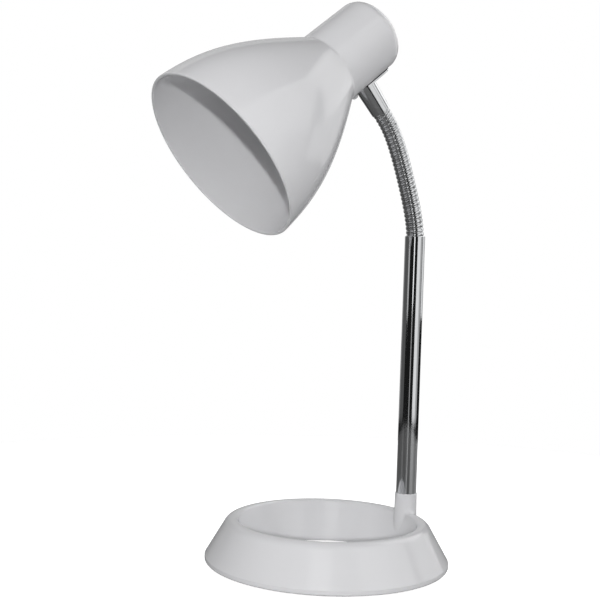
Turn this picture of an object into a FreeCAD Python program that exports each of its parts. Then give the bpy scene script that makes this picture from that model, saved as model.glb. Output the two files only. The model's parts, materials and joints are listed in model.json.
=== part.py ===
"""Gooseneck desk lamp on an open ring base: every piece as its own solid, in millimetres.

Frame: the origin is on the desk under the middle of the base ring, +Z is up, the stem stands
towards +Y and the head leans out towards -Y. Head pieces are drawn in a head frame of their own:
its +X runs along the shade towards the mouth, its +Z runs up the ferrule, and its origin is where
the two axes cross.
"""
import FreeCAD, Part
import math
import os

from FreeCAD import Placement, Rotation, Vector

# ---------------------------------------------------------------- driving dimensions
# fits
thread_gap = 0.05          # radial, between a thread and its hole
seat_gap = 0.1             # radial, between a piece and the bore it is pushed into
cover_gap = 0.45           # between the cover's edge and the ring's walls
running_gap = 0.1          # radial, between two neck segments

# base ring: a hollow moulding, open underneath
base_radius = 85.0         # at the foot
base_height = 30.0         # desk to the top of the rim
foot_width = 30.0          # of the ring's section at the desk
rim_setback = 15.0         # foot to where the outer slope would meet the top
hole_draft = 8.0           # the hole is this much wider at the rim than at the desk
foot_band_height = 4.3     # upright band below the outer slope
base_wall = 2.5
base_lift = 0.8            # the ring's edge stays this far off the desk
rim_outer_round = 7.0
rim_inner_round = 2.6
foot_round = 0.6
foot_edge_round = 1.5      # where the foot turns under

# stem boss of the base ring
stem_setback = 17.5        # from the ring's outer foot to the stem's axis
boss_height = 43.5         # desk to the boss's top, where the tube stands
boss_top_radius = 7.9
boss_foot_radius = 8.7
boss_blend = 3.0           # fillet where the boss grows out of the ring
boss_pocket_radius = 7.1   # room for the nut, from underneath
boss_crown = 10.5          # solid top of the boss, above the pocket

# bottom cover, ballast, foot ring and their screws
cover_lift = 1.2           # underside of the cover above the desk
cover_thickness = 2.4
ballast_thickness = 8.0
ballast_inner_gap = 1.6    # to the ring's walls
ballast_outer_gap = 5.3
ballast_gap_start = 66.0   # the ballast is open from here to the angle below, seen from above
ballast_gap_end = 114.0
foot_ring_width = 5.0
foot_ring_inset = 7.0      # from the ring's outer foot to the middle of the rubber
foot_ring_height = 2.2
cover_screw_count = 4
cover_screw_inset = 14.0   # from the ring's outer foot to the screws' circle
cover_screw_first_angle = 45.0
cover_screw_length = 20.0
cover_screw_radius = 1.7
cover_screw_head_radius = 3.3
screw_boss_radius = 3.6

# cord inlet in the back of the base
inlet_angle = 90.0         # seen from above, from +X
inlet_height = 9.2
inlet_boss_radius = 5.4
inlet_sink = 2.0           # its outer face lies this far inside the ring's foot
inlet_boss_length = 8.0
grommet_flange_radius = 5.0
grommet_flange = 1.2
grommet_sleeve_radius = 3.9
cord_bore_radius = 3.1

# stem
tube_radius = 7.35
tube_wall = 0.7
tube_top = 231.8           # desk to the top of the tube
tube_lip = 1.4             # height of the lip rolled in over the neck
tube_round = 0.9
dimple_depth = 0.15
dimple_ball = 4.0
dimple_drop = 7.0          # below the tube's top
stud_radius = 4.0          # M8 x 1 hollow stud
stud_bore_radius = 2.6
stud_length = 18.0
plug_length = 14.0
washer_radius = 7.0
washer_thickness = 1.5
stem_nut_width = 12.0
stem_nut_thickness = 4.5

# flexible neck
neck_radius = 6.45         # over the turns of the coil
groove_depth = 0.45
neck_bore_radius = 3.2
segment_count = 13
segment_length = 7.871
turns_per_segment = 2
ball_radius = 7.35         # of the rounded ends, about each pivot
neck_lean = 40.4           # how far the neck leads from upright, over all its joints
end_bend = 1.887           # how much more of the lean the joints at the two ends take
top_bend = 0.094           # and how much more the upper half takes than the lower
neck_insert = 8.6          # length of coil held inside the tube, and inside the ferrule
spigot_radius = 3.0
spigot_length = 5.0
wire_bore_radius = 2.2

# ferrule, plate and gasket under the head
ferrule_length = 21.3
ferrule_mouth_radius = 7.0
ferrule_top_radius = 7.8
ferrule_round = 0.4
plate_thickness = 1.2
plate_half_width = 7.8
plate_reach = 15.0         # from the ferrule's axis back to the plate screw
gasket_thickness = 1.4
gasket_inset = 0.3
nipple_radius = 5.0        # M10 x 1 hollow nipple
nipple_bore_radius = 3.6
nipple_end = 0.4           # stands out of its nut
nipple_nut_width = 14.0
nipple_nut_thickness = 3.0

# shade
head_drop = 27.0           # ferrule's top to the shade's axis
ferrule_station = 35.5     # ferrule's axis, measured from the back of the shade
shade_length = 160.2
shade_wall = 2.0
crown_radius = 46.2        # of the back of the dome
shoulder_radius = 9.8      # between the crown and the neck of the shade
shade_neck_radius = 26.35  # at the dome
waist_radius = 26.75       # where the bell starts
waist_station = 57.5
waist_round = 3.0
bell_out_station = 104.5   # the two handles of the bell's curve
bell_out_radius = 55.1
bell_in_station = 127.1
bell_in_radius = 62.1
mouth_radius = 64.1
flat_margin = 0.4          # flat under the neck of the shade, beyond the plate's ends
pad_margin = 2.2           # thicker wall behind that flat, beyond the plate's ends
pad_inner_plane = 22.4     # its inner face, from the shade's axis
lug_radius = 2.8
lug_station = 47.6
lug_drop = 26.5

# lampholder
bracket_thickness = 1.2
bracket_half_width = 5.8
bracket_station = 15.9     # front face of the bracket's leg, from the back of the shade
bracket_toe = 7.6          # the foot's reach in front of the ferrule's axis
bracket_leg_height = 11.0
bracket_bend = 1.4
holder_radius = 17.0
holder_core_length = 18.3
core_shoulder = 12.3
spigot_core_radius = 15.4
holder_skirt_end = 56.2
skirt_bore_radius = 14.0
skirt_round = 1.0
shell_bore_radius = 13.3   # E27 thread, at its full diameter
shell_wall = 0.5
shell_length = 19.0
contact_pocket_radius = 12.6
contact_pocket_depth = 3.0
contact_strip = 0.5
contact_width = 5.0
contact_button_radius = 2.6
contact_button_height = 2.8
side_contact_rise = 2.8
machine_screw_radius = 1.5
machine_screw_head_radius = 2.8
machine_screw_head = 2.0
holder_screw_spacing = 14.0
holder_screw_length = 9.0
terminal_spacing = 22.0
terminal_length = 7.0
recess_width = 0.9         # arms of the cross recess in a screw head
recess_depth = 1.0

X, Y, Z = Vector(1, 0, 0), Vector(0, 1, 0), Vector(0, 0, 1)
ORIGIN = Vector(0, 0, 0)
STEM = Vector(0, base_radius - stem_setback, 0)


# ---------------------------------------------------------------- drawing helpers
def rounded_wire(corners):
    """A closed wire through (point, radius) corners, with each radius as a tangent arc."""
    spans = []
    for index, (corner, radius) in enumerate(corners):
        before = corners[index - 1][0]
        after = corners[(index + 1) % len(corners)][0]
        back = (before - corner).normalize()
        ahead = (after - corner).normalize()
        if radius == 0:
            spans.append((corner, None, corner))
            continue
        half = back.getAngle(ahead) / 2
        reach = radius / math.tan(half)
        middle = (back + ahead).normalize()
        nearest = corner + middle * (radius / math.sin(half) - radius)
        spans.append((corner + back * reach, nearest, corner + ahead * reach))
    edges = []
    for index, (start, nearest, end) in enumerate(spans):
        if nearest is not None:
            edges.append(Part.Arc(start, nearest, end).toShape())
        following = spans[(index + 1) % len(spans)][0]
        if end.distanceToPoint(following) > 1e-6:
            edges.append(Part.makeLine(end, following))
    return Part.Wire(edges)


def turned(outline, axis=Z):
    """Revolve an outline of (along, radius) or (along, radius, fillet) corners about an axis."""
    outward = Z if axis == X else X
    corners = []
    for corner in outline:
        fillet = corner[2] if len(corner) == 3 else 0
        corners.append((axis * corner[0] + outward * corner[1], fillet))
    return Part.Face(rounded_wire(corners)).revolve(ORIGIN, axis, 360)


def ring(inner, outer, low, high, axis=Z, fillet=0):
    """A sleeve or washer between two radii."""
    return turned([(low, inner), (low, outer, fillet), (high, outer, fillet), (high, inner)], axis)


def rod(radius, low, high, axis=Z):
    return Part.makeCylinder(radius, high - low, axis * low, axis)


def block(low, high):
    size = high - low
    return Part.makeBox(size.x, size.y, size.z, low)


def hexagon_nut(width, thickness, bore, low, turn=0):
    """A chamfered nut standing on z = low."""
    corner = width / math.sqrt(3)
    points = [Rotation(Z, turn + 60 * step).multVec(X * corner) + Z * low for step in range(7)]
    prism = Part.Face(Part.makePolygon(points)).extrude(Z * thickness)
    chamfer = corner - width / 2
    drop = chamfer * math.tan(math.radians(30))
    envelope = turned([(low, 0), (low, width / 2), (low + drop, corner),
                       (low + thickness - drop, corner), (low + thickness, width / 2),
                       (low + thickness, 0)])
    return prism.common(envelope).cut(rod(bore, low - 1, low + thickness + 1))


def obround(half_width, front, rear, low, high):
    """A flat strip with round ends, its end centres at x = front and x = rear."""
    strip = block(Vector(rear, -half_width, low), Vector(front, half_width, high))
    for centre in (front, rear):
        end = Part.makeCylinder(half_width, high - low, Vector(centre, 0, low), Z)
        strip = strip.fuse(end)
    return strip.removeSplitter()


def cross_recess(size, top):
    """The cutter for a cross recess, sunk from z = top."""
    arm = Vector(size, recess_width / 2, 0)
    first = block(Vector(-arm.x, -arm.y, top - recess_depth), Vector(arm.x, arm.y, top + 1))
    second = first.copy()
    second.rotate(ORIGIN, Z, 90)
    return first.fuse(second)


def pan_screw(length):
    """A small machine screw with its head above z = 0 and its shank below."""
    head = turned([(0, 0), (0, machine_screw_head_radius),
                   (machine_screw_head, machine_screw_head_radius, 0.8), (machine_screw_head, 0)])
    screw = head.fuse(rod(machine_screw_radius, -length, 0))
    return screw.cut(cross_recess(machine_screw_head_radius * 0.6, machine_screw_head))


def facing(shape, direction, place):
    """Turn a shape drawn along +Z to point along a direction, at a place."""
    moved = shape.copy()
    moved.Placement = Placement(place, Rotation(Z, direction))
    return moved


def at(radius, angle, height=0.0):
    """A point by its distance and angle round the ring, seen from above."""
    turn = math.radians(angle)
    return Vector(radius * math.cos(turn), radius * math.sin(turn), height)


# ---------------------------------------------------------------- base
hole_foot_radius = base_radius - foot_width
hole_radius = hole_foot_radius + hole_draft
rim_radius = base_radius - rim_setback
foot_ring_radius = base_radius - foot_ring_inset
boss_pocket_roof = boss_height - boss_crown
cover_screw_circle = base_radius - cover_screw_inset
inlet_face_radius = base_radius - inlet_sink
cover_top = cover_lift + cover_thickness
ballast_top = cover_top + ballast_thickness
slope = rim_setback / (base_height - foot_band_height)
slope_wall = base_wall * math.hypot(1, slope)       # the sloping wall, measured level
hole_slope = hole_draft / (base_height - base_lift)
hole_wall = base_wall * math.hypot(1, hole_slope)   # the wall round the hole, measured level


def hollow_radius(height):
    """Inside of the sloping outer wall at a height."""
    return rim_radius + (base_height - height) * slope - slope_wall


def hollow_hole_radius(height):
    """Hollow side of the wall round the hole at a height."""
    return hole_foot_radius + (height - base_lift) * hole_slope + hole_wall


def cover_screw_places():
    step = 360 / cover_screw_count
    return [at(cover_screw_circle, cover_screw_first_angle + step * n)
            for n in range(cover_screw_count)]


def inlet_placed(shape):
    """Put a shape drawn along +Z, with its outer face at z = 0, into the cord inlet."""
    return facing(shape, at(1, inlet_angle), at(inlet_face_radius, inlet_angle, inlet_height))


def base_ring():
    moulding = turned([
        (base_lift, hole_foot_radius),
        (base_height, hole_radius, rim_inner_round),
        (base_height, rim_radius, rim_outer_round),
        (foot_band_height, base_radius, foot_round),
        (base_lift, base_radius, foot_edge_round),
    ])
    boss = turned([(base_lift, 0), (base_lift, boss_foot_radius),
                   (boss_height, boss_top_radius, 0.5), (boss_height, 0)])
    form = blend_boss(moulding.fuse(boss.translated(STEM)))
    roof = base_height - base_wall
    hollow = turned([
        (-1, hollow_hole_radius(-1)),
        (roof, hollow_hole_radius(roof), 1.5),
        (roof, hollow_radius(roof), 1.5),
        (foot_band_height - base_wall * slope, base_radius - base_wall),
        (-1, base_radius - base_wall),
    ])
    pocket = rod(boss_pocket_radius, -1, boss_pocket_roof)
    bore = rod(stud_radius + seat_gap, 0, boss_height + 1)
    shell = form.cut(hollow).cut(pocket.fuse(bore).translated(STEM))
    screw_bosses = [rod(screw_boss_radius, ballast_top, base_height).translated(place).common(form)
                    for place in cover_screw_places()]
    inlet = rod(inlet_boss_radius, -inlet_boss_length, 0)
    shell = shell.fuse([inlet_placed(inlet)] + screw_bosses)
    pilot = rod(cover_screw_radius + thread_gap, 0, cover_screw_length + 2 * cover_lift)
    pilots = [pilot.translated(place) for place in cover_screw_places()]
    spot_face = rod(grommet_flange_radius + seat_gap, 0, base_radius)
    inlet_bore = rod(grommet_sleeve_radius, -inlet_boss_length - 1, 1)
    return shell.cut([inlet_placed(spot_face), inlet_placed(inlet_bore)] + pilots)


def blend_boss(form):
    """Round the hollow corner all the way round the stem boss."""
    seam = []
    for edge in form.Edges:
        low, high = edge.ParameterRange
        middle = edge.valueAt((low + high) / 2)
        share = (middle.z - base_lift) / (boss_height - base_lift)
        boss_radius = boss_foot_radius + (boss_top_radius - boss_foot_radius) * share
        from_stem = (middle - STEM).cross(Z).Length
        if (abs(from_stem - boss_radius) < 0.05 and 0.02 < share < 0.95
                and edge.Curve.TypeId != "Part::GeomLine"):
            seam.append(edge)
    return form.makeFillet(boss_blend, seam)


def base_cover():
    plate = ring(hollow_hole_radius(cover_top) + cover_gap, base_radius - base_wall - cover_gap,
                 cover_lift, cover_top)
    tab = rod(boss_pocket_radius - cover_gap, cover_lift, cover_top).translated(STEM)
    plate = plate.fuse(tab).removeSplitter()
    half = foot_ring_width / 2 + seat_gap
    groove = ring(foot_ring_radius - half, foot_ring_radius + half,
                  cover_lift - 1, foot_ring_seat)
    sink = cover_screw_head_radius + seat_gap
    throat = cover_screw_radius + seat_gap
    countersink = turned([(cover_lift - 1, 0), (cover_lift - 1, sink), (cover_lift, sink),
                          (cover_lift + sink - throat, throat), (cover_top + 1, throat),
                          (cover_top + 1, 0)])
    holes = [countersink.translated(place) for place in cover_screw_places()]
    return plate.cut([groove] + holes)


foot_ring_seat = cover_lift + 1.0                   # bottom of the groove that holds the rubber


def foot_ring():
    half = foot_ring_width / 2
    return turned([(0, foot_ring_radius - half, 0.5), (0, foot_ring_radius + half, 0.5),
                   (foot_ring_seat, foot_ring_radius + half),
                   (foot_ring_seat, foot_ring_radius - half)])


def ballast_ring():
    """An open iron ring that leaves room for the stem, the cord inlet and the leads."""
    whole = ring(hollow_hole_radius(ballast_top) + ballast_inner_gap,
                 base_radius - base_wall - ballast_outer_gap, cover_top, ballast_top, fillet=0.8)
    sector = Part.makeCylinder(base_radius, ballast_thickness + 2, Vector(0, 0, cover_top - 1), Z,
                               ballast_gap_end - ballast_gap_start)
    sector.rotate(ORIGIN, Z, ballast_gap_start)
    hole = rod(cover_screw_radius + 4 * seat_gap, 0, ballast_top + 1)
    return whole.cut([sector] + [hole.translated(place) for place in cover_screw_places()])


def cover_screws():
    head = cover_screw_head_radius
    screw = turned([(0, 0), (0, head), (head - cover_screw_radius, cover_screw_radius),
                    (cover_screw_length - 2, cover_screw_radius), (cover_screw_length, 0)])
    recess = cross_recess(head * 0.55, recess_depth - 1)
    recess.rotate(ORIGIN, X, 180)
    screw = screw.cut(recess)
    screw.translate(Z * (cover_lift + seat_gap))
    return Part.makeCompound([screw.translated(place) for place in cover_screw_places()])


def cord_grommet():
    sleeve = rod(grommet_sleeve_radius - seat_gap, -inlet_boss_length, 0)
    outside = turned([(0, 0), (0, grommet_flange_radius),
                      (grommet_flange, grommet_flange_radius, 0.6), (grommet_flange, 0)])
    inside = outside.mirror(Vector(0, 0, -inlet_boss_length / 2), Z)
    bore = rod(cord_bore_radius, -2 * inlet_boss_length, inlet_boss_length)
    return inlet_placed(sleeve.fuse([outside, inside]).cut(bore))


# ---------------------------------------------------------------- stem
def stem_tube():
    inside = tube_radius - tube_wall
    lip = neck_radius + seat_gap
    tube = turned([(boss_height, inside), (boss_height, tube_radius),
                   (tube_top, tube_radius, tube_round), (tube_top, lip),
                   (tube_top - tube_lip, lip), (tube_top - tube_lip, inside)])
    height = Z * (tube_top - dimple_drop)
    centre = Y * -(tube_radius + dimple_ball - dimple_depth) + height
    pressed = Part.makeSphere(dimple_ball + tube_wall, centre)
    pressed = pressed.common(rod(inside + tube_wall / 2, boss_height, tube_top))
    tube = tube.fuse(pressed).cut(Part.makeSphere(dimple_ball, centre))
    return tube.translated(STEM)


def stem_plug():
    """Pressed into the foot of the tube, with the hollow stud that goes through the boss."""
    body = rod(tube_radius - tube_wall - thread_gap, boss_height, boss_height + plug_length)
    stud = rod(stud_radius, boss_height - stud_length, boss_height)
    bore = rod(stud_bore_radius, 0, tube_top)
    return body.fuse(stud).cut(bore).translated(STEM)


def stem_washer():
    return ring(stud_radius + seat_gap, washer_radius, boss_pocket_roof - washer_thickness,
                boss_pocket_roof).translated(STEM)


def stem_nut():
    low = boss_pocket_roof - washer_thickness - stem_nut_thickness
    return hexagon_nut(stem_nut_width, stem_nut_thickness, stud_radius + thread_gap,
                       low).translated(STEM)


def neck_anchor():
    """Pressed into the top of the tube; the coil of the neck stands on it."""
    seat = tube_top - neck_insert
    body = rod(tube_radius - tube_wall - thread_gap, seat - plug_length, seat)
    spigot = rod(spigot_radius, seat, seat + spigot_length)
    bore = rod(wire_bore_radius, 0, tube_top)
    return body.fuse(spigot).cut(bore).translated(STEM)


# ---------------------------------------------------------------- flexible neck
groove_radius = neck_radius - groove_depth
rim_rise = math.sqrt(ball_radius ** 2 - groove_radius ** 2)     # pivot to the rim of its ball
joint_count = segment_count - 1
end_run = segment_length / 2        # coil in view before the first joint, and after the last
first_pivot_height = tube_top + end_run - rim_rise


def lean_rotation(joints_passed):
    """The neck leans forward, turning about +X, and bends more towards its two ends."""
    places = [2 * joint / (joint_count - 1) - 1 for joint in range(joint_count)]
    even = sum(place ** 2 for place in places) / joint_count
    shares = [1 + end_bend * (place ** 2 - even) + top_bend * place for place in places]
    return Rotation(X, neck_lean * sum(shares[:joints_passed]) / joint_count)


def neck_pivots():
    """The pivot of each neck joint at rest, from the stem upwards."""
    place = STEM + Z * first_pivot_height
    pivots = [place]
    for passed in range(1, joint_count):
        place = place + lean_rotation(passed).multVec(Z) * segment_length
        pivots.append(place)
    return pivots


pivots = neck_pivots()


def neck_segment(low_end, high_end):
    """A run of coil about +Z. Each end is a height, or None for the rounded end of a joint.

    The lower pivot is at z = 0 and the upper one at z = segment_length.
    """
    socket = ball_radius + running_gap
    if low_end is None:
        low_rim = math.sqrt(socket ** 2 - groove_radius ** 2)
        low_bore = math.sqrt(socket ** 2 - neck_bore_radius ** 2)
        sweep = (math.asin(groove_radius / socket) + math.asin(neck_bore_radius / socket)) / 2
        middle = Vector(socket * math.sin(sweep), 0, socket * math.cos(sweep))
        edges = [Part.Arc(Vector(neck_bore_radius, 0, low_bore), middle,
                          Vector(groove_radius, 0, low_rim)).toShape()]
    else:
        low_rim = low_bore = low_end
        edges = [Part.makeLine(Vector(neck_bore_radius, 0, low_end),
                               Vector(groove_radius, 0, low_end))]
    high_rim = segment_length + rim_rise if high_end is None else high_end
    turns = round((high_rim - low_rim) / (segment_length / turns_per_segment))
    rise = (high_rim - low_rim) / turns
    for turn in range(turns):
        foot = low_rim + rise * turn
        edges.append(Part.Arc(Vector(groove_radius, 0, foot),
                              Vector(neck_radius, 0, foot + rise / 2),
                              Vector(groove_radius, 0, foot + rise)).toShape())
    if high_end is None:
        high_bore = segment_length + math.sqrt(ball_radius ** 2 - neck_bore_radius ** 2)
        sweep = (math.asin(groove_radius / ball_radius)
                 + math.asin(neck_bore_radius / ball_radius)) / 2
        middle = Vector(ball_radius * math.sin(sweep), 0,
                        segment_length + ball_radius * math.cos(sweep))
        edges.append(Part.Arc(Vector(groove_radius, 0, high_rim), middle,
                              Vector(neck_bore_radius, 0, high_bore)).toShape())
    else:
        high_bore = high_end
        edges.append(Part.makeLine(Vector(groove_radius, 0, high_end),
                                   Vector(neck_bore_radius, 0, high_end)))
    edges.append(Part.makeLine(Vector(neck_bore_radius, 0, high_bore),
                               Vector(neck_bore_radius, 0, low_bore)))
    return Part.Face(Part.Wire(edges)).revolve(ORIGIN, Z, 360)


last_segment_reach = end_run + rim_rise      # last pivot to the ferrule's mouth


def neck_segments():
    """The segments by node name. The first is fixed in the tube and the last in the ferrule."""
    segments = {}
    for number in range(segment_count):
        first, last = number == 0, number == segment_count - 1
        low_end = tube_top - neck_insert - first_pivot_height + segment_length if first else None
        high_end = last_segment_reach + neck_insert if last else None
        pivot = pivots[0] - Z * segment_length if first else pivots[number - 1]
        segment = neck_segment(low_end, high_end)
        segment.Placement = Placement(pivot, lean_rotation(number))
        segments["neck_segment_%02d" % (number + 1)] = segment
    return segments


# ---------------------------------------------------------------- head frame
head_rotation = lean_rotation(joint_count).multiply(Rotation(Z, -90))
head_origin = pivots[-1] + head_rotation.multVec(Z) * (
    last_segment_reach + ferrule_length + head_drop)
HEAD = Placement(head_origin, head_rotation)

plate_low = -head_drop
gasket_low = plate_low + plate_thickness
pad_plane = gasket_low + gasket_thickness           # outer face of the shade's pad
foot_low = -pad_inner_plane
foot_high = foot_low + bracket_thickness
nipple_high = foot_high + nipple_nut_thickness + nipple_end
ferrule_mouth = plate_low - ferrule_length
ferrule_shoulder = ferrule_mouth + neck_insert


def station(distance):
    """Head-frame x of a distance measured from the back of the shade."""
    return distance - ferrule_station


# ---------------------------------------------------------------- head joint
def head_ferrule():
    return turned([
        (ferrule_mouth, neck_radius + seat_gap), (ferrule_mouth, ferrule_mouth_radius, ferrule_round),
        (plate_low, ferrule_top_radius), (plate_low, nipple_radius + thread_gap),
        (ferrule_shoulder, nipple_radius + thread_gap), (ferrule_shoulder, neck_radius + seat_gap),
    ])


def head_plate():
    strip = obround(plate_half_width, 0, -plate_reach, plate_low, gasket_low)
    nipple_hole = rod(nipple_radius + thread_gap, plate_low - 1, gasket_low + 1)
    screw_hole = rod(machine_screw_radius + thread_gap, plate_low - 1, gasket_low + 1)
    return strip.cut([nipple_hole, screw_hole.translated(X * -plate_reach)])


def head_gasket():
    strip = obround(plate_half_width - gasket_inset, 0, -plate_reach, gasket_low, pad_plane)
    nipple_hole = rod(nipple_radius + seat_gap, gasket_low - 1, pad_plane + 1)
    screw_hole = rod(machine_screw_radius + seat_gap, gasket_low - 1, pad_plane + 1)
    return strip.cut([nipple_hole, screw_hole.translated(X * -plate_reach)])


def head_nipple():
    return ring(nipple_bore_radius, nipple_radius, ferrule_shoulder + seat_gap, nipple_high)


def nipple_nut():
    return hexagon_nut(nipple_nut_width, nipple_nut_thickness, nipple_radius + thread_gap,
                       foot_high, turn=30)


def plate_screw():
    length = foot_high - plate_low - 0.3
    return pan_screw(length).translated(Vector(-plate_reach, 0, foot_high))


# ---------------------------------------------------------------- shade
def plate_bed(margin, low, high):
    """A block as wide as the neck of the shade, over the plate and a margin at its ends."""
    reach = plate_half_width + margin
    return block(Vector(-plate_reach - reach, -shade_neck_radius, low),
                 Vector(reach, shade_neck_radius, high))


def dome_points(inset):
    """Apex, tangent point and shoulder points of the dome, moved inwards by an inset."""
    crown, shoulder = crown_radius - inset, shoulder_radius - inset
    offset = shade_neck_radius - shoulder_radius
    reach = math.sqrt((crown_radius - shoulder_radius) ** 2 - offset ** 2)
    shoulder_station = crown_radius - reach
    lean = math.atan2(offset, reach)
    apex = (inset, 0.0)
    crown_half = (crown_radius - crown * math.cos(lean / 2), crown * math.sin(lean / 2))
    tangent = (crown_radius - crown * math.cos(lean), crown * math.sin(lean))
    middle = (lean + math.pi / 2) / 2
    round_half = (shoulder_station - shoulder * math.cos(middle),
                  offset + shoulder * math.sin(middle))
    end = (shoulder_station, offset + shoulder)
    return apex, crown_half, tangent, round_half, end


def shade_body(inset):
    """The solid of revolution inside one skin of the shade, its mouth left square."""
    def point(pair):
        return Vector(station(pair[0]), 0, pair[1])

    apex, crown_half, tangent, round_half, dome_end = [point(p) for p in dome_points(inset)]
    waist = point((waist_station, waist_radius - inset))
    handle_out = Vector(bell_out_station - waist_station, 0, bell_out_radius - waist_radius)
    across = Vector(handle_out.z, 0, -handle_out.x).normalize() * inset
    waist_bell = waist + Vector(across.x, 0, across.z + inset)
    extra = 10.0 if inset else 0.0
    mouth = point((shade_length, mouth_radius - inset))
    bell = Part.BezierCurve()
    bell.setPoles([waist_bell, point((bell_out_station, bell_out_radius)) + across,
                   point((bell_in_station, bell_in_radius)) + across * 0.45 - Z * inset * 0.55,
                   mouth])
    edges = [Part.Arc(apex, crown_half, tangent).toShape(),
             Part.Arc(tangent, round_half, dome_end).toShape()]
    if inset:
        edges.append(Part.makeLine(dome_end, waist))
        edges.append(Part.makeLine(waist, waist_bell))
    else:
        edges.append(Part.makeLine(dome_end, waist_bell))
    edges.append(bell.toShape())
    lip = mouth + X * extra
    if inset:
        edges.append(Part.makeLine(mouth, lip))
    foot = Vector(lip.x, 0, 0)
    edges.append(Part.makeLine(lip, foot))
    edges.append(Part.makeLine(foot, apex))
    return Part.Face(Part.Wire(edges)).revolve(ORIGIN, X, 360)


def shade():
    outer = shade_body(0)
    waist_edge = [edge for edge in outer.Edges
                  if abs(edge.CenterOfMass.x - station(waist_station)) < 0.01
                  and abs(edge.BoundBox.ZMax - waist_radius) < 0.01]
    outer = outer.makeFillet(waist_round, waist_edge)
    pad = outer.common(plate_bed(pad_margin, pad_plane, foot_low))
    flat = plate_bed(flat_margin, plate_low - 2, pad_plane)
    lug = Part.makeSphere(lug_radius, Vector(station(lug_station), 0, -lug_drop))
    shell = outer.cut(shade_body(shade_wall)).fuse([pad, lug]).cut(flat)
    nipple_hole = rod(nipple_radius + seat_gap, plate_low, -holder_radius)
    screw_hole = rod(machine_screw_radius + seat_gap, plate_low, -holder_radius)
    shell = shell.cut([nipple_hole, screw_hole.translated(X * -plate_reach)])
    rim = [edge for edge in shell.Edges
           if abs(edge.CenterOfMass.x - station(shade_length)) < 0.01
           and edge.BoundBox.ZLength > mouth_radius]
    return shell.makeFillet(shade_wall * 0.35, rim)


# ---------------------------------------------------------------- lampholder
core_front = bracket_station + holder_core_length
core_step = bracket_station + core_shoulder


def holder_bracket():
    """Bent strip: its foot lies under the nipple's nut and its leg carries the lampholder."""
    leg_front = station(bracket_station)
    foot = block(Vector(leg_front - bracket_thickness, -bracket_half_width, foot_low),
                 Vector(bracket_toe, bracket_half_width, foot_high))
    leg = block(Vector(leg_front - bracket_thickness, -bracket_half_width, foot_low),
                Vector(leg_front, bracket_half_width, bracket_leg_height))
    strip = foot.fuse(leg).removeSplitter()
    bend = [edge for edge in strip.Edges
            if edge.BoundBox.YLength > bracket_half_width
            and abs(edge.CenterOfMass.x - leg_front + bracket_thickness) < 0.01
            and abs(edge.CenterOfMass.z - foot_low) < 0.01]
    strip = strip.makeFillet(bracket_bend, bend)
    top = [edge for edge in strip.Edges
           if edge.BoundBox.XLength > bracket_thickness / 2
           and edge.BoundBox.YLength < 0.01
           and abs(edge.CenterOfMass.z - bracket_leg_height) < 0.01]
    strip = strip.makeFillet(bracket_half_width * 0.6, top)
    nipple_hole = rod(nipple_radius + seat_gap, foot_low - 1, foot_high + 1)
    screw_hole = rod(machine_screw_radius + seat_gap, foot_low - 1, foot_high + 1)
    cutters = [nipple_hole, screw_hole.translated(X * -plate_reach)]
    for side in (-1, 1):
        hole = rod(machine_screw_radius + seat_gap, leg_front - 5, leg_front + 5, X)
        cutters.append(hole.translated(Z * (side * holder_screw_spacing / 2)))
    return strip.cut(cutters)


def holder_core():
    """Insulating block that holds the contacts, the terminals and the screws of the bracket."""
    back, step, front = station(bracket_station), station(core_step), station(core_front)
    core = turned([(back, 0), (back, holder_radius, 0.8), (step, holder_radius),
                   (step, spigot_core_radius), (front, spigot_core_radius), (front, 0)], X)
    pocket = rod(contact_pocket_radius, front - contact_pocket_depth, front + 1, X)
    thread = machine_screw_radius + thread_gap
    cutters = [pocket]
    for side in (-1, 1):
        holder_hole = rod(thread, back - 1, back + holder_screw_length, X)
        terminal_hole = rod(thread, back - 1, back + machine_screw_head + terminal_length + 0.5, X)
        sink = rod(machine_screw_head_radius + seat_gap, back - 1, back + machine_screw_head, X)
        cutters.append(holder_hole.translated(Z * (side * holder_screw_spacing / 2)))
        cutters.append(terminal_hole.fuse(sink).translated(Y * (side * terminal_spacing / 2)))
    return core.cut(cutters)


def holder_skirt():
    """Insulating sleeve round the screw shell."""
    start, step, end = station(core_step), station(core_front), station(holder_skirt_end)
    return turned([
        (start, spigot_core_radius + seat_gap), (start, holder_radius),
        (end, holder_radius, skirt_round), (end, skirt_bore_radius, 0.5),
        (step + seat_gap, skirt_bore_radius), (step + seat_gap, spigot_core_radius + seat_gap),
    ], X)


def holder_shell():
    start = station(core_front)
    return ring(shell_bore_radius, shell_bore_radius + shell_wall, start, start + shell_length, X)


def centre_contact():
    floor = station(core_front) - contact_pocket_depth
    strip = block(Vector(floor, -contact_pocket_radius * 0.6, -contact_width / 2),
                  Vector(floor + contact_strip, contact_pocket_radius * 0.6, contact_width / 2))
    top = floor + contact_button_height
    button = turned([(floor, 0), (floor, contact_button_radius), (top, contact_button_radius, 0.8),
                     (top, 0)], X)
    return strip.fuse(button).removeSplitter()


def side_contact():
    """Bent strip from the pocket's floor up to the inside of the screw shell."""
    floor = station(core_front) - contact_pocket_depth
    reach = contact_pocket_radius - seat_gap
    half = contact_width / 2
    foot = block(Vector(floor, -half, reach - contact_width), Vector(floor + contact_strip, half, reach))
    blade = block(Vector(floor, -half, reach - contact_strip),
                  Vector(floor + side_contact_rise, half, reach))
    bent = foot.fuse(blade).removeSplitter()
    return bent.common(rod(reach, floor, floor + side_contact_rise, X))


def holder_screws():
    heads_at = station(bracket_station) - bracket_thickness
    screw = pan_screw(bracket_thickness + holder_screw_length - 1)
    return Part.makeCompound([
        facing(screw, -X, Vector(heads_at, 0, side * holder_screw_spacing / 2)) for side in (-1, 1)])


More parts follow.
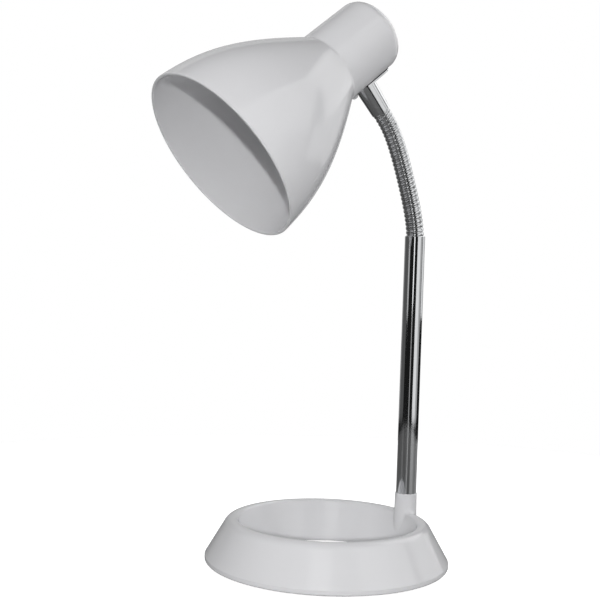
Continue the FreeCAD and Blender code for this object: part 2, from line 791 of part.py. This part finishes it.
def terminal_screws():
    heads_at = station(bracket_station) + machine_screw_head
    screw = pan_screw(terminal_length)
    return Part.makeCompound([
        facing(screw, -X, Vector(heads_at, side * terminal_spacing / 2, 0)) for side in (-1, 1)])


# ---------------------------------------------------------------- assembly
def on_head(shape):
    placed = shape.copy()
    placed.Placement = HEAD.multiply(placed.Placement)
    return placed


def lamp_nodes():
    nodes = {
        "base_ring": base_ring(),
        "base_cover": base_cover(),
        "foot_ring": foot_ring(),
        "ballast_ring": ballast_ring(),
        "cover_screws": cover_screws(),
        "cord_grommet": cord_grommet(),
        "stem_tube": stem_tube(),
        "stem_plug": stem_plug(),
        "stem_washer": stem_washer(),
        "stem_nut": stem_nut(),
        "neck_anchor": neck_anchor(),
    }
    nodes.update(neck_segments())
    head_pieces = (head_ferrule, head_plate, head_gasket, head_nipple, nipple_nut, plate_screw,
                   shade, holder_bracket, holder_core, holder_skirt, holder_shell,
                   centre_contact, side_contact, holder_screws, terminal_screws)
    for piece in head_pieces:
        nodes[piece.__name__] = on_head(piece())
    return nodes


lamp = lamp_nodes()
os.makedirs("parts", exist_ok=True)
for name, shape in lamp.items():
    shape.exportStep("parts/%s.step" % name)
    print("%-18s solids %d  volume %10.1f  valid %s" % (
        name, len(shape.Solids), shape.Volume, shape.isValid()))
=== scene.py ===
"""Looks of a gooseneck desk lamp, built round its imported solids. Lengths are in metres."""

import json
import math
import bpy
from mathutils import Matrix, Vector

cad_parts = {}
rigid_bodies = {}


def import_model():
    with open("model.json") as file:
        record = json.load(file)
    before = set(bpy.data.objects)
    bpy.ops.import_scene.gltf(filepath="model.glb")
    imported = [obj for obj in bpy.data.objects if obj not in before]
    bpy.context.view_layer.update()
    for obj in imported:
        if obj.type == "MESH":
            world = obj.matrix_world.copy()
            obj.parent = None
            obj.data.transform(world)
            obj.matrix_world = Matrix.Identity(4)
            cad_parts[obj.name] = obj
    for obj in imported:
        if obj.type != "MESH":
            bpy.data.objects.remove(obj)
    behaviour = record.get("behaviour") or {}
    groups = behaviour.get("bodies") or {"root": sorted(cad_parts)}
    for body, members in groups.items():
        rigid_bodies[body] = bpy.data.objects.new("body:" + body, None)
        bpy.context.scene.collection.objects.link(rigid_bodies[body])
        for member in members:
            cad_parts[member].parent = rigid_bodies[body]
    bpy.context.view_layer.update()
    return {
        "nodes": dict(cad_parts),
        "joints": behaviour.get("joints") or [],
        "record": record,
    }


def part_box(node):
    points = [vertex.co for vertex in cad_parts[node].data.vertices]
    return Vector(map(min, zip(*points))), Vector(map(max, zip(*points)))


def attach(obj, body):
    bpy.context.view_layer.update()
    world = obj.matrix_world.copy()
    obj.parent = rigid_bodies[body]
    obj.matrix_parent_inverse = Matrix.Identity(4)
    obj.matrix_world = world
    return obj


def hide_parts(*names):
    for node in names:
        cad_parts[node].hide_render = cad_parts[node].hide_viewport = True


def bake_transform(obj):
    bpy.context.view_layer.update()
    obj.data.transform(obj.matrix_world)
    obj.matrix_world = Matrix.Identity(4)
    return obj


bl_info = {
    "name": "Gooseneck Desk Lamp",
    "version": (1, 0, 0),
    "blender": (4, 5, 0),
    "location": "View3D > Sidebar > Desk Lamp",
    "description": "Finishes a gooseneck desk lamp on an open ring base and lights it in a studio",
    "category": "Object",
}

import bpy
from bpy.props import FloatProperty, FloatVectorProperty, IntProperty, PointerProperty
from bpy.types import Operator, Panel, PropertyGroup
from mathutils import Matrix, Vector

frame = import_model()
nodes = frame["nodes"]
mounts = {mount["name"]: mount for mount in frame["record"]["mounts"]}
joints = frame["joints"]            # the neck's hinges, from the tube to the ferrule
pivots = [Vector(joint["pos_m"]) for joint in joints]
bodies_up_the_neck = [joints[0]["parent"]] + [joint["child"] for joint in joints]
tube_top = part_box("stem_tube")[1].z
stem_foot = Vector((pivots[0].x, pivots[0].y, 0))
mouth_way = Vector(mounts["bulb_socket"]["axis"]).normalized()


# ------------------------------------------------------------------ what a user can change
class LampFinishes(PropertyGroup):
    """Colours and gloss of the lamp's materials."""

    shell_colour: FloatVectorProperty(
        name="Plastic colour", description="Colour of the base ring and the shade",
        default=(0.66, 0.66, 0.675), size=3, min=0, max=1, subtype="COLOR")
    shell_roughness: FloatProperty(
        name="Plastic roughness", description="Gloss of the base ring and the shade",
        default=0.12, min=0, max=1, subtype="FACTOR")
    chrome_colour: FloatVectorProperty(
        name="Chrome colour", description="Colour of the plated tube, plate and ferrule",
        default=(0.70, 0.71, 0.72), size=3, min=0, max=1, subtype="COLOR")
    chrome_roughness: FloatProperty(
        name="Chrome roughness", description="Gloss of the plated tube, plate and ferrule",
        default=0.07, min=0, max=1, subtype="FACTOR")
    holder_colour: FloatVectorProperty(
        name="Lampholder colour", description="Colour of the lampholder's insulating body",
        default=(0.72, 0.71, 0.68), size=3, min=0, max=1, subtype="COLOR")


class LampNeck(PropertyGroup):
    """Sizes of the gooseneck's wires."""

    coil_radius: FloatProperty(
        name="Coil radius", description="Outside radius of the gooseneck",
        default=0.00645, min=0.003, max=0.01, unit="LENGTH")
    coil_pitch: FloatProperty(
        name="Coil pitch", description="Distance from one turn of the outer wire to the next",
        default=0.00322, min=0.001, max=0.006, unit="LENGTH")
    wire_depth: FloatProperty(
        name="Wire depth", description="Thickness of the outer wire, measured across the coil",
        default=0.0010, min=0.0005, max=0.004, unit="LENGTH")
    turn_steps: IntProperty(
        name="Steps per turn", description="Divisions of one turn of the coil",
        default=28, min=12, max=64)


class LampStudio(PropertyGroup):
    """Light and floor of the studio."""

    key_power: FloatProperty(
        name="Key light", description="Power of the lamp beside the camera",
        default=5.7, min=0, unit="POWER")
    tent_strength: FloatProperty(
        name="Tent", description="Strength of the panels that stand round the lamp",
        default=1.05, min=0)
    fill_strength: FloatProperty(
        name="Fill", description="Strength of the light between the panels",
        default=0.012, min=0)
    floor_radius: FloatProperty(
        name="Floor radius", description="Radius of the round floor under the lamp",
        default=0.62, min=0.2, unit="LENGTH")


# ------------------------------------------------------------------ helpers
def deselect_all():
    """Leave nothing selected."""
    bpy.ops.object.select_all(action="DESELECT")


def only(piece):
    """Make a piece the one selected and active object."""
    deselect_all()
    piece.select_set(True)
    bpy.context.view_layer.objects.active = piece


def named(name):
    """Name the active object, which an operator has just made, and its mesh."""
    piece = bpy.context.active_object
    piece.name = name
    piece.data.name = name
    return piece


def settle():
    """Put the active object's place, turn and scale into its mesh."""
    bpy.ops.object.transform_apply(location=True, rotation=True, scale=True)


def apply_modifiers(piece):
    """Put what a piece's modifiers make into its mesh."""
    only(piece)
    for modifier in list(piece.modifiers):
        bpy.ops.object.modifier_apply(modifier=modifier.name)


def copy_of(piece, name):
    """A copy with a mesh of its own, selected and active."""
    only(piece)
    bpy.ops.object.duplicate()
    return named(name)


def coat(mesh, finish):
    """Give a mesh one of the lamp's finishes."""
    mesh.materials.clear()
    mesh.materials.append(materials[finish])


def finish_nodes(finish, *names):
    """Give nodes of the frame one of the lamp's finishes."""
    for name in names:
        coat(nodes[name].data, finish)


# ------------------------------------------------------------------ material nodes
def new_material(name):
    """A new material, its node tree and the shader in it."""
    material = bpy.data.materials.new(name)
    material.use_nodes = True
    tree = material.node_tree
    return material, tree, tree.nodes["Principled BSDF"]


def add(tree, kind, **settings):
    """Add a node and set its properties."""
    node = tree.nodes.new(kind)
    for key, value in settings.items():
        setattr(node, key, value)
    return node


def object_coordinates(tree, scale=(1, 1, 1)):
    """Object coordinates, stretched by a mapping."""
    coordinates = add(tree, "ShaderNodeTexCoord")
    mapping = add(tree, "ShaderNodeMapping")
    mapping.inputs["Scale"].default_value = scale
    tree.links.new(coordinates.outputs["Object"], mapping.inputs["Vector"])
    return mapping.outputs["Vector"]


def noise(tree, vector, scale, detail=3.0):
    """Cloudy noise from 0 to 1. A larger scale gives smaller clouds."""
    texture = add(tree, "ShaderNodeTexNoise")
    texture.inputs["Scale"].default_value = scale
    texture.inputs["Detail"].default_value = detail
    tree.links.new(vector, texture.inputs["Vector"])
    return texture.outputs["Fac"]


def spread(tree, factor, low, high):
    """Map 0..1 to low..high."""
    span = add(tree, "ShaderNodeMapRange")
    span.inputs["To Min"].default_value = low
    span.inputs["To Max"].default_value = high
    tree.links.new(factor, span.inputs["Value"])
    return span.outputs["Result"]


def tint(tree, factor, dark, light):
    """A colour between two shades."""
    mix = add(tree, "ShaderNodeMix", data_type="RGBA")
    mix.inputs["A"].default_value = (*dark, 1)
    mix.inputs["B"].default_value = (*light, 1)
    tree.links.new(factor, mix.inputs["Factor"])
    return mix.outputs["Result"]


def shade_of(colour, share):
    """A colour made darker or lighter by a share."""
    return tuple(min(1.0, channel * share) for channel in colour)


def bump(tree, shader, height, strength, distance):
    """Roughen a shader's surface by a relief of the given depth."""
    relief = add(tree, "ShaderNodeBump")
    relief.inputs["Strength"].default_value = strength
    relief.inputs["Distance"].default_value = distance
    tree.links.new(height, relief.inputs["Height"])
    tree.links.new(relief.outputs["Normal"], shader.inputs["Normal"])


def cleared_tree(owner, output_kind):
    """The node tree of a material or world with its output alone, and that output."""
    owner.use_nodes = True
    tree = owner.node_tree
    tree.nodes.clear()
    return tree, add(tree, output_kind)


def by_ray(tree, ray, other, shown):
    """What a ray of the named kind is shown, and what any other one is."""
    rays = add(tree, "ShaderNodeLightPath")
    choice = add(tree, "ShaderNodeMixShader")
    tree.links.new(rays.outputs[ray], choice.inputs["Fac"])
    tree.links.new(other.outputs[0], choice.inputs[1])
    tree.links.new(shown.outputs[0], choice.inputs[2])
    return choice


# ------------------------------------------------------------------ finishes
def moulded_plastic(name, colour, roughness, relief=0.00002):
    """Glossy moulded plastic with a faint orange peel and a little unevenness in its gloss."""
    material, tree, shader = new_material(name)
    vector = object_coordinates(tree)
    clouds = noise(tree, vector, scale=18.0, detail=2.0)
    peel = noise(tree, vector, scale=900.0, detail=2.0)
    smears = noise(tree, vector, scale=60.0)
    tree.links.new(tint(tree, clouds, shade_of(colour, 0.985), shade_of(colour, 1.015)),
                   shader.inputs["Base Color"])
    tree.links.new(spread(tree, smears, roughness - 0.03, roughness + 0.03),
                   shader.inputs["Roughness"])
    shader.inputs["IOR"].default_value = 1.49
    bump(tree, shader, peel, strength=0.25, distance=relief)
    return material


def drawn_chrome(name, colour, roughness, stretch=(1, 1, 1)):
    """Plated metal with a faint grain, which a stretch along Z makes into draw lines."""
    material, tree, shader = new_material(name)
    lines = noise(tree, object_coordinates(tree, stretch), scale=1500.0, detail=2.0)
    clouds = noise(tree, object_coordinates(tree), scale=90.0)
    tree.links.new(tint(tree, clouds, shade_of(colour, 0.97), shade_of(colour, 1.02)),
                   shader.inputs["Base Color"])
    tree.links.new(spread(tree, lines, roughness - 0.02, roughness + 0.03),
                   shader.inputs["Roughness"])
    shader.inputs["Metallic"].default_value = 1.0
    bump(tree, shader, lines, strength=0.08, distance=0.00001)
    return material


def plain_metal(name, colour, roughness, scale=700.0, relief=0.00002):
    """Unpolished metal with a fine grain."""
    material, tree, shader = new_material(name)
    vector = object_coordinates(tree)
    grain = noise(tree, vector, scale, detail=4.0)
    stains = noise(tree, vector, scale=120.0)
    tree.links.new(tint(tree, stains, shade_of(colour, 0.88), colour),
                   shader.inputs["Base Color"])
    tree.links.new(spread(tree, grain, roughness - 0.06, roughness + 0.08),
                   shader.inputs["Roughness"])
    shader.inputs["Metallic"].default_value = 1.0
    bump(tree, shader, grain, strength=0.3, distance=relief)
    return material


def rubber(name, colour):
    """Matt rubber with a dusty bloom."""
    material, tree, shader = new_material(name)
    vector = object_coordinates(tree)
    bloom = noise(tree, vector, scale=150.0, detail=5.0)
    grain = noise(tree, vector, scale=1800.0)
    tree.links.new(tint(tree, bloom, shade_of(colour, 0.8), shade_of(colour, 1.25)),
                   shader.inputs["Base Color"])
    tree.links.new(spread(tree, bloom, low=0.6, high=0.8), shader.inputs["Roughness"])
    bump(tree, shader, grain, strength=0.4, distance=0.00003)
    return material


materials = {}                      # the lamp's finishes, which make_materials fills in
draw_lines = (1, 1, 0.04)           # the grain's scale on the tube, long along its axis
cover_share = 0.95                  # how pale the cover is, as a share of the shell
ferrule_share = 0.95                # how pale the ferrule is, as a share of the tube
ferrule_extra_roughness = 0.05      # how much duller the ferrule is than the tube
wire_extra_roughness = 0.06         # how much duller the wire is than the tube
steel_colour = (0.52, 0.52, 0.53)
brass_colour = (0.72, 0.55, 0.26)
iron_colour = (0.08, 0.08, 0.085)
black_rubber_colour = (0.02, 0.02, 0.021)
grey_rubber_colour = (0.5, 0.5, 0.51)


def make_materials():
    """Make each of the lamp's finishes."""
    looks = bpy.context.scene.lamp_finishes
    materials["shell"] = moulded_plastic(
        "white_moulded_plastic", looks.shell_colour, looks.shell_roughness)
    materials["cover"] = moulded_plastic(
        "textured_cover_plastic", shade_of(looks.shell_colour, cover_share),
        roughness=0.5, relief=0.0001)
    materials["chrome"] = drawn_chrome(
        "plated_tube_chrome", looks.chrome_colour, looks.chrome_roughness, draw_lines)
    materials["ferrule"] = drawn_chrome(
        "plated_ferrule_chrome", shade_of(looks.chrome_colour, ferrule_share),
        looks.chrome_roughness + ferrule_extra_roughness)
    materials["wire"] = drawn_chrome(
        "plated_wire_chrome", looks.chrome_colour,
        looks.chrome_roughness + wire_extra_roughness)
    materials["steel"] = plain_metal("zinc_plated_steel", steel_colour, roughness=0.36)
    materials["brass"] = plain_metal("lampholder_brass", brass_colour, roughness=0.3)
    materials["iron"] = plain_metal(
        "cast_ballast_iron", iron_colour, roughness=0.75, scale=250.0, relief=0.0002)
    materials["black_rubber"] = rubber("black_rubber", black_rubber_colour)
    materials["grey_rubber"] = rubber("grommet_rubber", grey_rubber_colour)
    materials["holder"] = moulded_plastic(
        "lampholder_insulator", looks.holder_colour, roughness=0.38)


# ------------------------------------------------------------------ the base and the stem
class LAMP_OT_base(Operator):
    """Finish the ring, its cover, ballast, foot, screws and grommet"""

    bl_idname = "lamp.base"
    bl_label = "Base"

    def execute(self, context):
        finish_nodes("shell", "base_ring")
        finish_nodes("cover", "base_cover")
        finish_nodes("black_rubber", "foot_ring")
        finish_nodes("iron", "ballast_ring")
        finish_nodes("steel", "cover_screws")
        finish_nodes("grey_rubber", "cord_grommet")
        return {"FINISHED"}


class LAMP_OT_stem(Operator):
    """Finish the tube and the pieces that hold it"""

    bl_idname = "lamp.stem"
    bl_label = "Stem"

    def execute(self, context):
        finish_nodes("chrome", "stem_tube")
        finish_nodes("steel", "stem_plug", "stem_washer", "stem_nut", "neck_anchor")
        return {"FINISHED"}


# ------------------------------------------------------------------ the gooseneck
wire_sides = 16                 # sides of a wire's section
outer_width_share = 0.74        # width of the outer wire, as a share of the pitch
filler_width_share = 0.55       # width of the filler wire, as a share of the pitch
filler_depth_share = 0.7        # depth of the filler wire, as a share of the outer wire's
filler_sunk = 0.00045           # how far the filler wire lies inside the outer wire
line_below_tube_top = 0.004     # where the neck's line starts, down in the tube
coil_above_line_start = 0.001   # how far up that line the coil's foot is cut
line_runs_past_hinges = 2.2     # how far the line goes on past the last hinge, in runs
coil_runs_past_hinges = 2.0     # how far the coil goes on past the last hinge, in runs
line_steps = 16                 # steps of the line for each of its points

# At these hinges, counted from 0 at the tube, the coil is two stiff halves and isn't bent:
# a bent piece tears there when the whole neck is at its farthest.
parted_hinges = (8, 10)


def straight_wire(name, radius, depth, width, sizes, length, foot):
    """A helix of wire round the Z axis, with an oval section, that starts at a height."""
    bpy.ops.mesh.primitive_circle_add(
        vertices=wire_sides, radius=depth / 2, fill_type="NOTHING",
        location=(radius - depth / 2, 0, foot), rotation=(math.pi / 2, 0, 0))
    wire = named(name)
    wire.scale = (1, width / depth, 1)
    settle()
    turns = length / sizes.coil_pitch
    screw = wire.modifiers.new("turns", "SCREW")
    screw.axis = "Z"
    screw.angle = 2 * math.pi * turns
    screw.screw_offset = sizes.coil_pitch * turns
    screw.steps = screw.render_steps = round(sizes.turn_steps * turns)
    screw.use_smooth_shade = True
    apply_modifiers(wire)
    return wire


def straight_coil(sizes, length):
    """The outer wire and the filler wire between its turns, as one piece."""
    outer = straight_wire(
        "outer_wire", sizes.coil_radius, sizes.wire_depth,
        sizes.coil_pitch * outer_width_share, sizes, length, foot=0.0)
    filler = straight_wire(
        "filler_wire", sizes.coil_radius - filler_sunk, sizes.wire_depth * filler_depth_share,
        sizes.coil_pitch * filler_width_share, sizes, length, foot=sizes.coil_pitch / 2)
    only(outer)
    filler.select_set(True)
    bpy.ops.object.join()
    return named("neck_coil")


def neck_centreline(points):
    """The curve that touches the middle of each run between two points."""
    curve = bpy.data.curves.new("neck_centreline", "CURVE")
    curve.dimensions = "3D"
    curve.resolution_u = line_steps
    spline = curve.splines.new("NURBS")
    spline.points.add(len(points) - 1)
    for point, place in zip(spline.points, points):
        point.co = (*place, 1)
    spline.order_u = 3
    spline.use_endpoint_u = True
    line = bpy.data.objects.new("neck_centreline", curve)
    bpy.context.scene.collection.objects.link(line)
    return line


def bend_along(coil, points):
    """Bend the straight coil along the neck."""
    line = neck_centreline(points)
    bend = coil.modifiers.new("bend", "CURVE")
    bend.object = line
    bend.deform_axis = "POS_Z"
    apply_modifiers(coil)
    bpy.data.objects.remove(line)


def cut_away(piece, place, way, keep_above):
    """Cut a piece by the plane across a way, close the cut and keep one side."""
    only(piece)
    bpy.ops.object.mode_set(mode="EDIT")
    bpy.ops.mesh.select_all(action="SELECT")
    bpy.ops.mesh.bisect(plane_co=place, plane_no=way, use_fill=True,
                        clear_inner=keep_above, clear_outer=not keep_above)
    bpy.ops.object.mode_set(mode="OBJECT")


def neck_piece(coil, name, low, high):
    """The coil between two cuts, each given by its place and its way up the neck."""
    piece = copy_of(coil, name)
    cut_away(piece, *low, keep_above=True)
    cut_away(piece, *high, keep_above=False)
    coat(piece.data, "wire")
    return piece


def neck_cuts(start, run, head_way):
    """The cuts across the coil: at its foot, halfway between hinges, and twice past them."""
    cuts = [(start + Vector((0, 0, coil_above_line_start)), Vector((0, 0, 1)))]
    for lower, upper in zip(pivots, pivots[1:]):
        cuts.append(((lower + upper) / 2, (upper - lower).normalized()))
    cuts.append((pivots[-1] + head_way * run / 2, head_way))
    cuts.append((pivots[-1] + head_way * run * coil_runs_past_hinges, head_way))
    return cuts


class LAMP_OT_neck(Operator):
    """Wind the gooseneck's wires, bend them along the neck and cut them between the joints"""

    bl_idname = "lamp.neck"
    bl_label = "Gooseneck"

    def execute(self, context):
        run = (pivots[1] - pivots[0]).length
        # The neck meets the shade a quarter turn from the way that its mouth looks.
        head_way = Vector((mouth_way.x, mouth_way.z, -mouth_way.y))
        start = Vector((stem_foot.x, stem_foot.y, tube_top - line_below_tube_top))
        end = pivots[-1] + head_way * (run * line_runs_past_hinges)
        points = [start] + pivots + [end]
        length = sum((upper - lower).length for lower, upper in zip(points, points[1:]))
        coil = straight_coil(context.scene.lamp_neck, length)
        bend_along(coil, points)

        cuts = neck_cuts(start, run, head_way)
        for number, (low, high) in enumerate(zip(cuts, cuts[1:])):
            name = "neck_coil_%02d" % (number + 1)
            if number in parted_hinges:
                middle = (pivots[number], (low[1] + high[1]).normalized())
                halves = ((name, low, middle), (name + "_upper", middle, high))
                for half, ends in enumerate(halves):
                    piece = neck_piece(coil, *ends)
                    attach(piece, bodies_up_the_neck[number + half])
                    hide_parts("neck_segment_%02d" % (number + 1 + half))
                continue
            piece = neck_piece(coil, name, low, high)
            if number < len(pivots):
                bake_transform(piece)
            else:
                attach(piece, bodies_up_the_neck[-1])
            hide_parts("neck_segment_%02d" % (number + 1))
        bpy.data.objects.remove(coil)
        return {"FINISHED"}


# ------------------------------------------------------------------ the head
class LAMP_OT_head_joint(Operator):
    """Finish the ferrule, plate, gasket and fasteners under the shade"""

    bl_idname = "lamp.head_joint"
    bl_label = "Head joint"

    def execute(self, context):
        finish_nodes("ferrule", "head_ferrule", "head_plate")
        finish_nodes("black_rubber", "head_gasket")
        finish_nodes("steel", "head_nipple", "nipple_nut", "plate_screw")
        return {"FINISHED"}


class LAMP_OT_shade(Operator):
    """Finish the shade"""

    bl_idname = "lamp.shade"
    bl_label = "Shade"

    def execute(self, context):
        finish_nodes("shell", "shade")
        return {"FINISHED"}


class LAMP_OT_lampholder(Operator):
    """Finish the lampholder and its bracket"""

    bl_idname = "lamp.lampholder"
    bl_label = "Lampholder"

    def execute(self, context):
        finish_nodes("holder", "holder_core", "holder_skirt")
        finish_nodes("brass", "holder_shell", "centre_contact", "side_contact",
                     "terminal_screws")
        finish_nodes("steel", "holder_bracket", "holder_screws")
        return {"FINISHED"}


# ------------------------------------------------------------------ the studio
floor_centre = (0.05, 0, 0)
floor_sides = 128
floor_tone = 0.62                   # how pale the floor is where it only throws light back
floor_tone_in_gloss = 0.16          # how pale it is in the chrome and the plastic
floor_roughness_in_gloss = 0.3
floor_tone_in_view = 0.55           # how pale it is to the camera, under its glow
floor_glow_in_view = 0.86

key_light_place = Vector((0.946, -0.566, 0.276))
key_light_aim = Vector((0, -0.03, 0.2))
key_light_width = 0.035

camera_place = Vector((0.60746, -0.38277, 0.19515))
camera_ahead = Vector((-0.86348, 0.50409, -0.01724))
camera_right = Vector((0.50338, 0.86341, 0.03355))
lens_length = 61.54                 # in millimetres, as the sensor's width is
sensor_width = 36

# The panels of the tent are placed in degrees round the stem, from the side of the camera.
camera_side = math.degrees(math.atan2(camera_place.y - stem_foot.y, camera_place.x - stem_foot.x))
lamp_middle = Vector((stem_foot.x, stem_foot.y, 0.2))
tent_radius = 1.3
tent = (
    # name, left, right, low and high edge in degrees, strength, mirrored
    ("front_light", -35, 40, 18, 55, 1.20, False),
    ("right_light", 42, 98, 20, 55, 1.10, False),
    ("right_back_light", 110, 165, -12, 25, 2.80, False),
    ("high_right_back_light", 110, 165, 25, 55, 1.50, False),
    ("left_light", -75, -40, -5, 20, 1.05, False),
    ("high_left_light", -75, -40, 20, 55, 1.50, False),
    ("left_back_light", -135, -80, -5, 25, 0.20, False),
    ("high_left_back_light", -135, -80, 25, 55, 0.70, False),
    ("overhead_card", -32, 32, 58, 121.9, 1.40, True),
    ("high_right_card", 40, 104, 18, 58, 1.00, True),
    ("high_right_back_card", 112, 165, 18, 58, 1.37, True),
    ("high_left_card", -125, -45, 18, 58, 0.12, True),
    ("high_back_card", 170, 230, 18, 50, 0.48, True),
    ("back_card", 170, 230, -5, 18, 0.44, True),
    ("right_card", 36, 74, -12, 18, 0.90, True),
    ("far_right_card", 74, 98, -12, 18, 0.45, True),
    ("right_back_card", 105, 150, -3, 18, 0.80, True),
    ("left_card", -68, -50, -3, 7, 0.50, True),
    ("far_left_card", -125, -70, -12, 18, 0.10, True),
    ("left_back_card", -160, -125, -12, 18, 0.25, True),
    ("front_card", -5, 5, -2, 9, 1.25, True),
    ("low_front_card", -5, 3, -14, -2, 0.40, True),
    ("high_front_card", -14, 6, 9, 38, 1.20, True),
)


def grey(tone):
    """A neutral colour."""
    return (tone, tone, tone, 1)


def floor_material():
    """Pale floor: white to the camera, with the lamp's shadow, and darker in the chrome."""
    material = bpy.data.materials.new("pale_floor")
    tree, output = cleared_tree(material, "ShaderNodeOutputMaterial")
    plain = add(tree, "ShaderNodeBsdfDiffuse")
    plain.inputs["Color"].default_value = grey(floor_tone)
    in_gloss = add(tree, "ShaderNodeBsdfPrincipled")
    in_gloss.inputs["Base Color"].default_value = grey(floor_tone_in_gloss)
    in_gloss.inputs["Roughness"].default_value = floor_roughness_in_gloss
    surface = add(tree, "ShaderNodeBsdfDiffuse")
    surface.inputs["Color"].default_value = grey(floor_tone_in_view)
    glow = add(tree, "ShaderNodeEmission")
    glow.inputs["Strength"].default_value = floor_glow_in_view
    in_view = add(tree, "ShaderNodeAddShader")
    tree.links.new(surface.outputs[0], in_view.inputs[0])
    tree.links.new(glow.outputs[0], in_view.inputs[1])
    out_of_view = by_ray(tree, "Is Glossy Ray", other=plain, shown=in_gloss)
    shown = by_ray(tree, "Is Camera Ray", other=out_of_view, shown=in_view)
    tree.links.new(shown.outputs[0], output.inputs["Surface"])
    return material


def glowing_material(name, strength):
    """White light of the given strength and nothing else."""
    material = bpy.data.materials.new(name)
    tree, output = cleared_tree(material, "ShaderNodeOutputMaterial")
    glow = add(tree, "ShaderNodeEmission")
    glow.inputs["Strength"].default_value = strength
    tree.links.new(glow.outputs[0], output.inputs["Surface"])
    return material


def panel(name, left, right, low, high, strength, mirrored):
    """A glowing panel of the studio's tent, turned towards the lamp.

    It reaches from left to right, in degrees to the right of the camera, and from low to
    high, in degrees above the middle of the lamp. A mirrored one shows in gloss and
    chrome alone, and any other one only lights the lamp.
    """
    turn = math.radians(camera_side + (left + right) / 2)
    lift = math.radians((low + high) / 2)
    way = Vector((math.cos(turn) * math.cos(lift), math.sin(turn) * math.cos(lift),
                  math.sin(lift)))
    bpy.ops.mesh.primitive_plane_add(size=2, location=lamp_middle + way * tent_radius)
    piece = named(name)
    piece.scale = (tent_radius * math.tan(math.radians((right - left) / 2)) * math.cos(lift),
                   tent_radius * math.tan(math.radians((high - low) / 2)), 1)
    piece.rotation_euler = (-way).to_track_quat("Z", "Y").to_euler()
    settle()
    piece.data.materials.append(glowing_material(name, strength))
    piece.visible_camera = False
    piece.visible_shadow = False
    piece.visible_diffuse = not mirrored
    piece.visible_glossy = mirrored


def lay_floor(radius):
    """Lay the round floor under the lamp."""
    deselect_all()
    bpy.ops.mesh.primitive_circle_add(vertices=floor_sides, radius=radius,
                                      fill_type="NGON", location=floor_centre)
    floor = named("floor")
    settle()
    floor.data.materials.append(floor_material())


def fill_room(scene, strength):
    """Fill the room between the panels with faint light, and make it white to the camera."""
    world = scene.world or bpy.data.worlds.new("studio")
    scene.world = world
    tree, output = cleared_tree(world, "ShaderNodeOutputWorld")
    room = add(tree, "ShaderNodeBackground")
    room.inputs["Color"].default_value = grey(1)
    room.inputs["Strength"].default_value = strength
    white = add(tree, "ShaderNodeBackground")
    white.inputs["Color"].default_value = grey(1)
    shown = by_ray(tree, "Is Camera Ray", other=room, shown=white)
    tree.links.new(shown.outputs[0], output.inputs["Surface"])


def place_key_light(scene, power):
    """Place the small round light beside the camera."""
    light = bpy.data.lights.new("key_light", "AREA")
    light.shape = "DISK"
    light.size = key_light_width
    light.energy = power
    lamp = bpy.data.objects.new("key_light", light)
    lamp.location = key_light_place
    way = key_light_aim - key_light_place
    lamp.rotation_euler = way.to_track_quat("-Z", "Y").to_euler()
    lamp.visible_glossy = False
    scene.collection.objects.link(lamp)


def place_camera(scene):
    """Place the camera, with its three directions made square to one another."""
    lens = bpy.data.cameras.new("camera")
    lens.lens = lens_length
    lens.sensor_width = sensor_width
    camera = bpy.data.objects.new("camera", lens)
    back = -camera_ahead.normalized()
    up = back.cross(camera_right.normalized()).normalized()
    right = up.cross(back)
    turn = Matrix((right, up, back)).transposed()
    camera.matrix_world = Matrix.Translation(camera_place) @ turn.to_4x4()
    scene.collection.objects.link(camera)
    scene.camera = camera


class LAMP_OT_stage(Operator):
    """Set up the floor, the lights, the world and the camera"""

    bl_idname = "lamp.stage"
    bl_label = "Stage"

    def execute(self, context):
        scene = context.scene
        studio = scene.lamp_studio
        scene.view_settings.view_transform = "Standard"
        lay_floor(studio.floor_radius)
        for *edges, strength, mirrored in tent:
            panel(*edges, strength * studio.tent_strength, mirrored)
        fill_room(scene, studio.fill_strength)
        place_key_light(scene, studio.key_power)
        place_camera(scene)
        return {"FINISHED"}


class LAMP_PT_panel(Panel):
    """Buttons and values of the desk lamp"""

    bl_idname = "LAMP_PT_panel"
    bl_label = "Desk Lamp"
    bl_space_type = "VIEW_3D"
    bl_region_type = "UI"
    bl_category = "Desk Lamp"

    def draw(self, context):
        layout = self.layout
        for group in ("lamp_finishes", "lamp_neck", "lamp_studio"):
            values = getattr(context.scene, group)
            box = layout.box()
            for key in values.__annotations__:
                box.prop(values, key)
        for operator in operators:
            layout.operator(operator.bl_idname)


operators = (LAMP_OT_stage, LAMP_OT_base, LAMP_OT_stem, LAMP_OT_neck, LAMP_OT_head_joint,
             LAMP_OT_shade, LAMP_OT_lampholder)
classes = (LampFinishes, LampNeck, LampStudio) + operators + (LAMP_PT_panel,)


def register():
    for item in classes:
        bpy.utils.register_class(item)
    bpy.types.Scene.lamp_finishes = PointerProperty(type=LampFinishes)
    bpy.types.Scene.lamp_neck = PointerProperty(type=LampNeck)
    bpy.types.Scene.lamp_studio = PointerProperty(type=LampStudio)


def unregister():
    del bpy.types.Scene.lamp_studio
    del bpy.types.Scene.lamp_neck
    del bpy.types.Scene.lamp_finishes
    for item in reversed(classes):
        bpy.utils.unregister_class(item)


def main():
    register()
    make_materials()
    bpy.ops.lamp.stage()
    bpy.ops.lamp.base()
    bpy.ops.lamp.stem()
    bpy.ops.lamp.neck()
    bpy.ops.lamp.head_joint()
    bpy.ops.lamp.shade()
    bpy.ops.lamp.lampholder()


if __name__ == "__main__":
    main()
